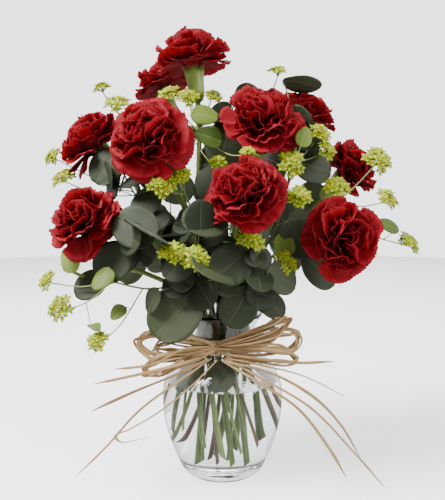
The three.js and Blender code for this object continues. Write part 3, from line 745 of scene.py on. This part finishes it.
# ---- Eucalyptus ----
# Sprigs of silver-dollar eucalyptus: round, stiff, grey-green leaves with a waxy bloom and a
# pale midrib, each on a short stalk from a thin woody stem that stands in the water.
# each sprig's ring, place there and how high it ends, the route of its stem above the rim, and
# its leaves: middle, length and the way the leaf's face looks
EUCALYPTUS = {
    "front_left": (
        OUTER_RING, 10, 20, [(-36, -34, 194), (-62, -46, 222), (-84, -48, 250)],
        [(-75, -62, 244, 44, -0.2, -0.9, 0.4), (-97, -50, 212, 42, -0.25, -0.9, 0.3),
         (-120, -38, 190, 33, -0.2, -0.8, 0.5), (-62, -80, 243, 52, 0.45, 0.15, 0.86),
         (-69, -28, 262, 34, -0.3, -0.7, 0.6), (-30, -24, 101, 34, -0.65, -0.5, 0.58, 116),
         (-7, -22, 142, 25, -0.3, -0.95, 0.1, 120)]),
    "front": (
        OUTER_RING, 11, 40, [(-18, -42, 190), (-24, -56, 218), (-22, -66, 245)],
        [(-42, -54, 166, 54, -0.1, -0.92, 0.35), (-18, -54, 188, 38, -0.55, -0.75, 0.3),
         (-62, -52, 178, 26, -0.75, -0.6, 0.2), (-15, -74, 251, 40, 0.1, -0.75, 0.65),
         (3, -52, 196, 34, 0.5, -0.8, 0.2), (-2, -36, 103, 30, 0.1, -0.85, 0.5, 118),
         (9, -21, 143, 25, 0.35, -0.93, 0.1, 120)]),
    "front_right": (
        OUTER_RING, 13, 34, [(24, -34, 188), (26, -46, 205), (20, -56, 224)],
        [(7, -66, 212, 42, 0.1, -0.95, 0.3), (14, -52, 172, 40, 0.05, -0.97, 0.2),
         (44, -36, 172, 34, 0.5, -0.7, 0.5), (-8, -84, 210, 48, 0.55, -0.1, 0.83),
         (52, -52, 198, 34, 0.5, -0.8, 0.3), (18, -13.5, 143, 24, 0.8, -0.6, 0.1, 120)]),
    "top": (
        INNER_RING, 2, 1, [(4, 18, 215), (6, 22, 268), (4, 22, 315), (10, 28, 352)],
        [(3, 4, 318, 46, 0, -0.95, 0.3), (-10, -8, 282, 40, -0.4, -0.85, 0.3),
         (22, 42, 332, 42, 0.3, 0.85, 0.4), (-8, 44, 300, 42, -0.3, 0.9, 0.3),
         (28, 36, 362, 36, 0.5, 0.6, 0.6), (24, 30, 286, 38, 0.7, 0.5, 0.4)]),
    "right": (
        INNER_RING, 1, 4, [(34, 6, 205), (55, 6, 250), (64, 2, 300), (64, 2, 346)],
        [(84, -4, 296, 40, 0.3, -0.9, 0.3), (75, 14, 374, 38, 0.1, 0.35, 0.93),
         (92, -8, 200, 44, 0.4, -0.85, 0.3), (70, -24, 230, 40, 0.2, -0.9, 0.4),
         (48, 40, 300, 42, -0.1, 0.95, 0.3), (92, 50, 262, 40, 0.5, 0.8, 0.3)]),
    "left": (
        INNER_RING, 5, 6, [(-36, 8, 205), (-60, 6, 240), (-84, 2, 272), (-98, -4, 302)],
        [(-106, -14, 297, 40, -0.2, -0.9, 0.4), (-80, -18, 284, 38, -0.5, -0.3, 0.8),
         (-118, 2, 226, 40, -0.6, 0.2, 0.75), (-62, 30, 286, 40, -0.2, 0.9, 0.4),
         (-62, 30, 232, 44, -0.3, 0.9, 0.3), (-90, 30, 196, 36, -0.5, 0.8, 0.3),
         (-18, -13, 141, 24, -0.8, -0.58, 0.1, 120)]),
    "back_right": (
        OUTER_RING, 2, 14, [(30, 34, 192), (44, 54, 222), (52, 68, 256)],
        [(66, 62, 208, 44, 0.6, 0.7, 0.4), (30, 72, 236, 44, -0.1, 0.95, 0.3),
         (74, 84, 250, 42, 0.5, 0.8, 0.3), (42, 84, 278, 42, 0, 0.85, 0.5),
         (22, 54, 184, 40, -0.1, 0.95, 0.2)]),
    "back_left": (
        OUTER_RING, 4, 42, [(-14, 42, 190), (-34, 60, 214), (-54, 74, 246)],
        [(-18, 74, 232, 44, 0.1, 0.9, 0.4), (-62, 60, 204, 42, -0.5, 0.8, 0.3),
         (-76, 80, 240, 42, -0.4, 0.85, 0.3), (-48, 92, 272, 42, 0, 0.85, 0.5),
         (-28, 60, 176, 40, -0.2, 0.95, 0.2)]),
}
LEAF_THICKNESS = 0.7
SMALL_LEAVES = 12
WIDTH_OF_LENGTH = 0.88


def attach_point(path, target, height=None):
    """The place on a stem nearest to a given height or, above the rim, nearest to a point."""
    above = path[path[:, 2] > (0 if height else 166)]
    away = np.abs(above[:, 2] - height) if height else np.linalg.norm(above - target, axis=1)
    return above[np.argmin(away)]


def leaf(growth, row, attach, rng, stalk, point=0.0, curve=0.12, tone=0.5, slots=(0, 0, 0)):
    """A leaf with its stalk. point sharpens its tip and curve says how deeply it is cupped."""
    middle, length, normal = np.array(row[:3], float), row[3], unit(np.array(row[4:7], float))
    along = middle - attach
    along = unit(along - normal * along.dot(normal))
    across = np.cross(normal, along)
    rows, cols = 17, 13
    s = np.linspace(0.012, 0.988, rows)[:, None]
    u = np.linspace(-1, 1, cols)[None, :]
    width = 0.5 * WIDTH_OF_LENGTH * length * np.sqrt(1 - (2 * s - 1) ** 2)
    width = width * (1 - point * s ** 1.5)
    y = (s - 0.5) * length
    x = width * u
    a, b = rng.uniform(0, 2 * math.pi, 2)
    bowl = curve * rng.uniform(0.4, 1.3) * (x ** 2 / (0.44 * length)) * rng.choice([-0.6, 1])
    droop = -rng.uniform(0.02, 0.16) * length * (s - 0.3) ** 2
    ripple = 0.022 * length * np.sin(4 * s + 2.2 * u + a) * u ** 2
    ripple = ripple + 0.01 * length * np.sin(9 * s + b) * u ** 2
    crease = -0.5 * np.exp(-(u / 0.12) ** 2)
    z = bowl + droop + ripple + crease
    grid = middle + y[..., None] * along + x[..., None] * across + z[..., None] * normal
    places = np.stack([0.5 + 0.5 * u + 0 * s, s + 0 * u], axis=-1)
    growth.sheet(grid, places, LEAF_THICKNESS, tone, slots[0], slots[1])
    foot = middle - along * 0.47 * length
    bow = (attach + foot) / 2 + normal * 0.06 * np.linalg.norm(foot - attach)
    ends = through([attach, bow, foot, foot + along * 0.12 * length], 14)
    growth.rod(ends, lambda i: circle(stalk * (1 - 0.03 * i), 6), tone=0.7, slot=slots[2])


def vein_group():
    """A midrib and side veins from a leaf's own pattern places."""
    f = Finish("veins", node_group(
        "leaf_veins", "ShaderNodeTree", [("Pairs", "Float")], [("Midrib", "Float"), ("Veins", "Float")]))
    pairs = f.add("NodeGroupInput").outputs[0]
    split = f.add("ShaderNodeSeparateXYZ", {0: f.pattern()}).outputs
    away = f.maths("ABSOLUTE", f.maths("SUBTRACT", split[0], 0.5))
    midrib = f.maths("SUBTRACT", 1.0, f.maths("MULTIPLY", away, 34.0))
    along = f.maths("MULTIPLY", split[1], pairs)
    slanted = f.maths("PINGPONG", f.maths("SUBTRACT", along, f.maths("MULTIPLY", away, 5.0)), 0.5)
    line = f.maths("SUBTRACT", 1.0, f.maths("MULTIPLY", slanted, 14.0))
    f.add("NodeGroupOutput", {0: f.maths("MAXIMUM", midrib, 0.0), 1: f.maths("MAXIMUM", line, 0.0)})
    return f.tree


leaf_veins = vein_group()


def leaf_finish(name, dark, light, rib, roughness, pairs=7.0):
    """A leaf face: waxy patches over its colour, a paler midrib and faint side veins."""
    f = Finish(name)
    midrib, veins = f.group(leaf_veins, pairs)
    body = f.group(mottle, f.ramp(f.tone(), (0, dark), (1, light)), 42.0, 0.55)[0]
    ribbed = f.blend(f.maths("MULTIPLY", midrib, 0.6), body, rib)
    lined = f.blend(f.maths("MULTIPLY", veins, 0.08), ribbed, rib)
    f.set(Base_Color=lined, Roughness=roughness, Specular_IOR_Level=0.25)
    f.bump(f.maths("ADD", midrib, f.maths("MULTIPLY", veins, 0.5)), 0.35, 0.0004)
    return f.material


def bark_finish(name, *colours):
    """A thin stem: its colour goes from the woody foot to the soft top, with long streaks."""
    f = Finish(name)
    long = f.group(streaks, (9, 22, 1), 1.2, 3)[0]
    body = f.ramp(f.tone(), *((i / (len(colours) - 1), c) for i, c in enumerate(colours)))
    fine = f.ramp(long, (0.35, grey(0.7)), (0.65, grey(1.0)))
    f.set(Base_Color=f.group(mottle, f.times(body, fine), 80.0, 0.5)[0], Roughness=0.5)
    f.bump(long, 0.3, 0.0003)
    return f.material


eucalyptus_finishes = (
    leaf_finish("eucalyptus_face", (0.011, 0.017, 0.006, 1), (0.036, 0.046, 0.020, 1),
                (0.066, 0.080, 0.030, 1), 0.6),
    leaf_finish("eucalyptus_back", (0.040, 0.052, 0.024, 1), (0.085, 0.105, 0.055, 1),
                (0.11, 0.13, 0.06, 1), 0.68),
    bark_finish("eucalyptus_stem", (0.07, 0.028, 0.016, 1), (0.05, 0.045, 0.014, 1),
                (0.10, 0.095, 0.03, 1)),
)

for index, (name, (ring, slot, end, route, leaves)) in enumerate(EUCALYPTUS.items()):
    rng = np.random.default_rng(700 + index)
    path = through([*stem_foot(ring, slot, end), *route], 120)
    growth = Growth()
    growth.rod(path, lambda i: circle(1.5 - 0.006 * i, 10), tone=np.linspace(0, 1, len(path)), slot=2,
               slant=1.2)
    for row in leaves:
        attach = attach_point(path, row[:3], *row[7:])
        leaf(growth, row, attach, rng, 0.8, tone=rng.uniform(0.2, 1), slots=(0, 1, 2))
    above = path[path[:, 2] > 176]
    for attach in above[rng.integers(0, len(above), SMALL_LEAVES)]:
        away = unit(np.array([*rng.uniform(-1, 1, 2), rng.uniform(-0.3, 0.4)]))
        length = rng.uniform(22, 36)
        spot = attach + away * (0.5 * length + 5)
        if all(np.linalg.norm(spot - bloom[0]) > bloom[2] for bloom in CARNATIONS):
            face = unit(np.array([spot[0], spot[1], 30]) + rng.normal(0, 20, 3))
            # The small leaves take only the darker tones: painted shade for the deep inside of the bunch.
            leaf(growth, (*spot, length, *face), attach, rng, 0.7, tone=rng.uniform(0, 0.4),
                 slots=(0, 1, 2))
    sprig = growth.piece(f"silver_dollar_{name}", *eucalyptus_finishes)
    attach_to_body(sprig, "root")
    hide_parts(f"eucalyptus_sprig_{name}")


# ---- Bupleurum ----
# Airy filler: thin pale stalks that fork into flat heads. A head is a handful of small stars of
# five pointed yellow-green bracts round tiny yellow florets. The leaves are round and pointed.
# as the eucalyptus, with the heads before the leaves: middle, width, the way the head faces,
# and the height its stalk leaves the stem at where that isn't the nearest place
BUPLEURUM = {
    "top_left": (
        OUTER_RING, 6, 36, [(-52, 40, 215), (-84, 36, 270), (-100, 30, 318), (-98, 20, 345)],
        [(-99, 4, 357, 27, 0, -0.5, 0.85), (-115, 14, 371, 18, -0.3, -0.2, 0.9),
         (-168, 32, 306, 20, -0.7, -0.5, 0.5, 262), (-153, 8, 287, 24, -0.4, -0.5, 0.75, 268)],
        [(-80, 12, 352, 20, 0, -0.6, 0.8)]),
    "top": (
        INNER_RING, 4, 8, [(-16, 16, 220), (-22, 4, 280), (-20, -10, 326)],
        [(-50, -6, 364, 20, -0.3, -0.6, 0.75), (-31, -14, 360, 20, 0, -0.7, 0.7),
         (-8, -4, 362, 18, 0.4, -0.4, 0.8), (-4, -36, 300, 14, 0, -0.7, 0.7),
         (22, -54, 309, 12, 0, -0.6, 0.8)],
        [(-16, -26, 342, 26, 0, -0.85, 0.5), (-12, -30, 322, 26, 0.3, -0.85, 0.3)]),
    "upper_right": (
        INNER_RING, 9, 10, [(34, -6, 215), (54, -14, 262), (68, -16, 300)],
        [(60, -50, 301, 26, 0, -0.85, 0.5), (90, -16, 328, 20, 0.3, -0.6, 0.7),
         (96, -18, 312, 18, 0.4, -0.7, 0.5), (66, -56, 272, 22, 0, -0.8, 0.6)],
        [(72, -40, 322, 20, 0.2, -0.9, 0.3)]),
    "right": (
        INNER_RING, 0, 3, [(42, 0, 205), (76, -8, 240), (104, -14, 262)],
        [(146, -6, 304, 30, 0.2, -0.75, 0.6), (104, -30, 278, 25, 0, -0.8, 0.6),
         (152, -22, 268, 22, 0.4, -0.6, 0.6), (176, -10, 227, 24, 0.5, -0.6, 0.6)],
        [(154, -16, 242, 22, 0.4, -0.6, 0.6), (112, -12, 250, 20, 0.4, -0.8, 0.3)]),
    "low_left": (
        OUTER_RING, 9, 16, [(-40, -24, 184), (-70, -36, 186), (-97, -58, 196)],
        [(-144, -56, 174, 25, -0.4, -0.7, 0.6), (-157, -46, 196, 18, -0.5, -0.6, 0.6),
         (-111, -60, 144, 19, -0.2, -0.7, 0.7, 186.5)],
        [(-104, -66, 200, 24, -0.2, -0.8, 0.6), (-92, -56, 168, 17, 0, -0.8, 0.6),
         (-113, -56, 155, 15, 0, -0.2, 1)]),
    "front": (
        INNER_RING, 7, 12, [(-12, -32, 210), (-22, -50, 244), (-32, -52, 272)],
        [(-52, -64, 283, 28, 0, -0.8, 0.6), (-36, -56, 291, 18, 0.2, -0.7, 0.7),
         (-42, -84, 226, 21, 0, -0.8, 0.6), (-22, -86, 221, 22, 0.1, -0.9, 0.4),
         (24, -72, 237, 24, 0.1, -0.8, 0.6), (56, -46, 212, 26, 0.3, -0.8, 0.5)],
        [(56, -30, 226, 26, 0.2, -0.8, 0.6)]),
    "back": (
        OUTER_RING, 3, 12, [(8, 44, 205), (8, 64, 250), (6, 72, 292)],
        [(-2, 84, 320, 26, 0, 0.7, 0.7), (-34, 72, 330, 22, -0.2, 0.7, 0.7),
         (36, 74, 318, 24, 0.2, 0.7, 0.7), (4, 92, 262, 22, 0, 0.9, 0.4),
         (86, 84, 296, 22, 0.4, 0.7, 0.6), (52, 12, 386, 18, 0, -0.2, 1)],
        [(-14, 88, 286, 24, -0.2, 0.9, 0.4), (0, 74, 212, 22, 0, 0.95, 0.3)]),
}
STAR_RADIUS = 6.4


def star_mesh():
    """Five pointed bracts round seven florets, facing up, as a few closed shapes."""
    growth = Growth()
    corners = [(1, 2, 4), (2, 3, 4), (3, 0, 4), (0, 1, 4), (2, 1, 5), (3, 2, 5), (0, 3, 5), (1, 0, 5)]
    floret = np.array([(1, 0, -0.6), (-0.5, 0.87, -0.6), (-0.5, -0.87, -0.6), (0, 0, 1)])
    for i in range(5):
        turn = 2 * math.pi * i / 5
        out = np.array([math.cos(turn), math.sin(turn), 0])
        up = np.array([0, 0, 1.0])
        wide = np.cross(up, out) * 0.34 * STAR_RADIUS
        bract = [out * 0.4, out * 3.2 - wide + up * 1.1, out * STAR_RADIUS + up * 1.5,
                 out * 3.2 + wide + up * 1.1, out * 3.0 + up * 0.6, out * 3.0 + up * 0.2]
        growth.add(bract, corners, [(0.5, 0.5)] * 24, tone=0.55)
    for i in range(7):
        turn, away = 2 * math.pi * i / 6, 0 if i == 6 else 1.7
        at = np.array([away * math.cos(turn), away * math.sin(turn), 1.5 + 0.7 * (i == 6)])
        growth.add(list(at + 0.95 * floret), [(0, 2, 1), (0, 1, 3), (1, 2, 3), (2, 0, 3)],
                   [(0.5, 0.5)] * 12, tone=1.0)
    return growth.piece("bupleurum_star")


def umbel_tree():
    """Sets a star on every point, facing the point's way, turned and sized at random."""
    tree = node_group("umbel_of_stars", "GeometryNodeTree", [
        ("Points", "Geometry"), ("Star", "Object"), ("Smallest", "Float"), ("Largest", "Float"),
        ("Seed", "Int"), ("Finish", "Material")], [("Stars", "Geometry")])
    add = partial(add_node, tree)
    given = add("NodeGroupInput").outputs
    star = add("GeometryNodeObjectInfo", {"Object": given["Star"]}).outputs["Geometry"]
    way = add("GeometryNodeInputNamedAttribute", {"Name": "facing"},
              data_type="FLOAT_VECTOR").outputs[0]
    turned_up = add("FunctionNodeAlignRotationToVector", {"Vector": way}, axis="Z").outputs[0]
    spin = add("FunctionNodeRandomValue", {2: 0.0, 3: 2 * math.pi, "Seed": given["Seed"]}).outputs[1]
    about = add("FunctionNodeAxisAngleToRotation", {"Axis": (0, 0, 1), "Angle": spin}).outputs[0]
    both = add("FunctionNodeRotateRotation", {0: turned_up, 1: about},
               rotation_space="LOCAL").outputs[0]
    size = add("FunctionNodeRandomValue", {
        2: given["Smallest"], 3: given["Largest"], "Seed": given["Seed"]}).outputs[1]
    placed = add("GeometryNodeInstanceOnPoints", {
        "Points": given["Points"], "Instance": star, "Rotation": both, "Scale": size}).outputs[0]
    real = add("GeometryNodeRealizeInstances", {0: placed}).outputs[0]
    done = add("GeometryNodeSetMaterial", {"Geometry": real, "Material": given["Finish"]}).outputs[0]
    add("NodeGroupOutput", {0: done})
    return tree


def grown(tree, name, points, ways, **values):
    """The plain mesh that a tree makes of some points, in millimetres, and the ways they face."""
    mesh = bpy.data.meshes.new(name)
    mesh.from_pydata([tuple(p) for p in np.array(points) * MM], [], [])
    facing_way = mesh.attributes.new("facing", "FLOAT_VECTOR", "POINT")
    facing_way.data.foreach_set("vector", np.array(ways, np.float32).ravel())
    source = bpy.data.objects.new(name + "_points", mesh)
    bpy.context.scene.collection.objects.link(source)
    modifier = source.modifiers.new("grow", "NODES")
    modifier.node_group = tree
    for socket in tree.interface.items_tree:
        if socket.in_out == "INPUT" and socket.name in values:
            modifier[socket.identifier] = values[socket.name]
    bpy.context.view_layer.update()
    ready = source.evaluated_get(bpy.context.evaluated_depsgraph_get())
    made = bpy.data.objects.new(name, bpy.data.meshes.new_from_object(ready))
    bpy.context.scene.collection.objects.link(made)
    bpy.data.objects.remove(source)
    return made


def star_finish():
    """Bracts of yellow-green; florets of clear yellow."""
    f = Finish("bupleurum_stars")
    body = f.ramp(f.tone(), (0.5, (0.23, 0.30, 0.008, 1)), (0.6, (0.25, 0.31, 0.01, 1)),
                  (1.0, (0.46, 0.43, 0.006, 1)))
    f.set(Base_Color=f.group(mottle, body, 160.0, 1.1)[0], Roughness=0.55, Specular_IOR_Level=0.3)
    return f.material


star_green = star_finish()
star = star_mesh()
umbel = umbel_tree()
bupleurum_finishes = (
    leaf_finish("bupleurum_face", (0.030, 0.058, 0.005, 1), (0.09, 0.13, 0.010, 1),
                (0.16, 0.20, 0.03, 1), 0.5, 9.0),
    leaf_finish("bupleurum_back", (0.05, 0.085, 0.010, 1), (0.11, 0.15, 0.018, 1),
                (0.17, 0.21, 0.04, 1), 0.6, 9.0),
    bark_finish("bupleurum_stalk", (0.07, 0.11, 0.012, 1), (0.13, 0.18, 0.025, 1),
                (0.32, 0.32, 0.12, 1)),
)

for index, (name, (ring, slot, end, route, heads, leaves)) in enumerate(BUPLEURUM.items()):
    rng = np.random.default_rng(900 + index)
    path = through([*stem_foot(ring, slot, end), *route], 110)
    growth = Growth()
    growth.rod(path, lambda i: circle(1.3 - 0.004 * i, 8), tone=np.linspace(0, 0.6, len(path)), slot=2,
               slant=1.0)
    points, ways, stalks = [], [], [path]
    for row in heads:
        target, width, face = np.array(row[:3], float), row[3], unit(np.array(row[4:7], float))
        attach = attach_point(path, target, *row[7:])
        reach = np.linalg.norm(target - attach)
        fork = target - face * 0.34 * width
        bow = attach + 0.6 * (fork - attach) - face * 0.12 * reach
        stalks.append(through([attach, bow, fork], 20))
        growth.rod(stalks[-1], lambda i: circle(0.62, 6), tone=0.8, slot=2)
        axes = facing(face)
        count = max(5, round(width * 0.55))
        for k in range(count):
            turn = 2.4 * k + rng.uniform(-0.3, 0.3)
            away = 0.40 * width * math.sqrt((k + 0.4) / count)
            tip = np.array([away * math.cos(turn), away * math.sin(turn), -0.9 * away ** 2 / width]) @ axes
            tip = target + tip + face * rng.uniform(-1.6, 1.6)
            way = unit(face + 1.6 * (tip - fork) / width + rng.normal(0, 0.2, 3))
            growth.rod(through([fork, (fork + tip) / 2 + face * 0.6, tip], 6), lambda i: circle(0.36, 5),
                       tone=0.75, slot=2)
            points.append(tip)
            ways.append(way)
    for row in leaves:
        leaf(growth, row, attach_point(np.concatenate(stalks), row[:3]), rng, 0.5, point=0.35, curve=0.3,
             tone=rng.uniform(0, 1), slots=(0, 1, 2))
    sprig = growth.piece(f"bupleurum_{name}", *bupleurum_finishes)
    stars = grown(umbel, f"bupleurum_stars_{name}", points, ways, Star=star, Smallest=0.78,
                  Largest=1.12, Seed=index, Finish=star_green)
    for part in (sprig, stars):
        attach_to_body(part, "root")
        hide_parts(f"bupleurum_sprig_{name}")
bpy.data.objects.remove(star)


# ---- Floor and light ----
# A pale table top and wide soft lamps, as in a bright room.
def table_finish():
    """Nearly white, but darker to what it lights and in mirrored images than it looks."""
    f = Finish("pale_table")
    ray = f.add("ShaderNodeLightPath").outputs
    mirrored = f.maths("MULTIPLY", ray["Is Reflection Ray"], ray["Is Glossy Ray"])
    clouded = f.ramp(f.noise(f.place(), 3, 4), (0.35, grey(0.92)), (0.65, grey(0.92 * 1.03)))
    shaded = f.blend(ray["Is Camera Ray"], grey(0.55), clouded)
    f.set(Base_Color=f.blend(mirrored, shaded, grey(0.15)), Roughness=0.7)
    return f.material


bpy.ops.mesh.primitive_circle_add(vertices=96, radius=1.75, fill_type="NGON")
floor = bpy.context.object
floor.name = "floor"
floor.data.materials.append(table_finish())

world = bpy.data.worlds.new("room")
bpy.context.scene.world = world
world.use_nodes = True
room = Finish("room", world.node_tree)
background = world.node_tree.nodes["Background"]
way = room.add("ShaderNodeSeparateXYZ", {0: room.add("ShaderNodeTexCoord").outputs["Generated"]})
toward_wall = room.maths("MULTIPLY_ADD", way.outputs[1], 0.5)
light = room.ramp(toward_wall, (0.2, grey(0.16)), (0.8, grey(0.62)))
seen = room.add("ShaderNodeLightPath").outputs["Is Camera Ray"]
world.node_tree.links.new(room.blend(seen, light, (0.96, 0.97, 1.0, 1)), background.inputs[0])
background.inputs[1].default_value = 2.9


def lamp(name, place, size, power):
    data = bpy.data.lights.new(name, "AREA")
    data.shape = "DISK"
    data.size = size
    data.energy = power
    made = bpy.data.objects.new(name, data)
    made.location = place
    made.rotation_euler = (Vector((0, 0, 0.22)) - Vector(place)).to_track_quat("-Z", "Y").to_euler()
    bpy.context.scene.collection.objects.link(made)


lamp("window", (-0.9, -0.5, 1.5), 0.9, 100)
lamp("fill", (1.1, -0.7, 0.8), 1.0, 24)
lamp("back", (0.2, 1.2, 1.2), 0.8, 20)
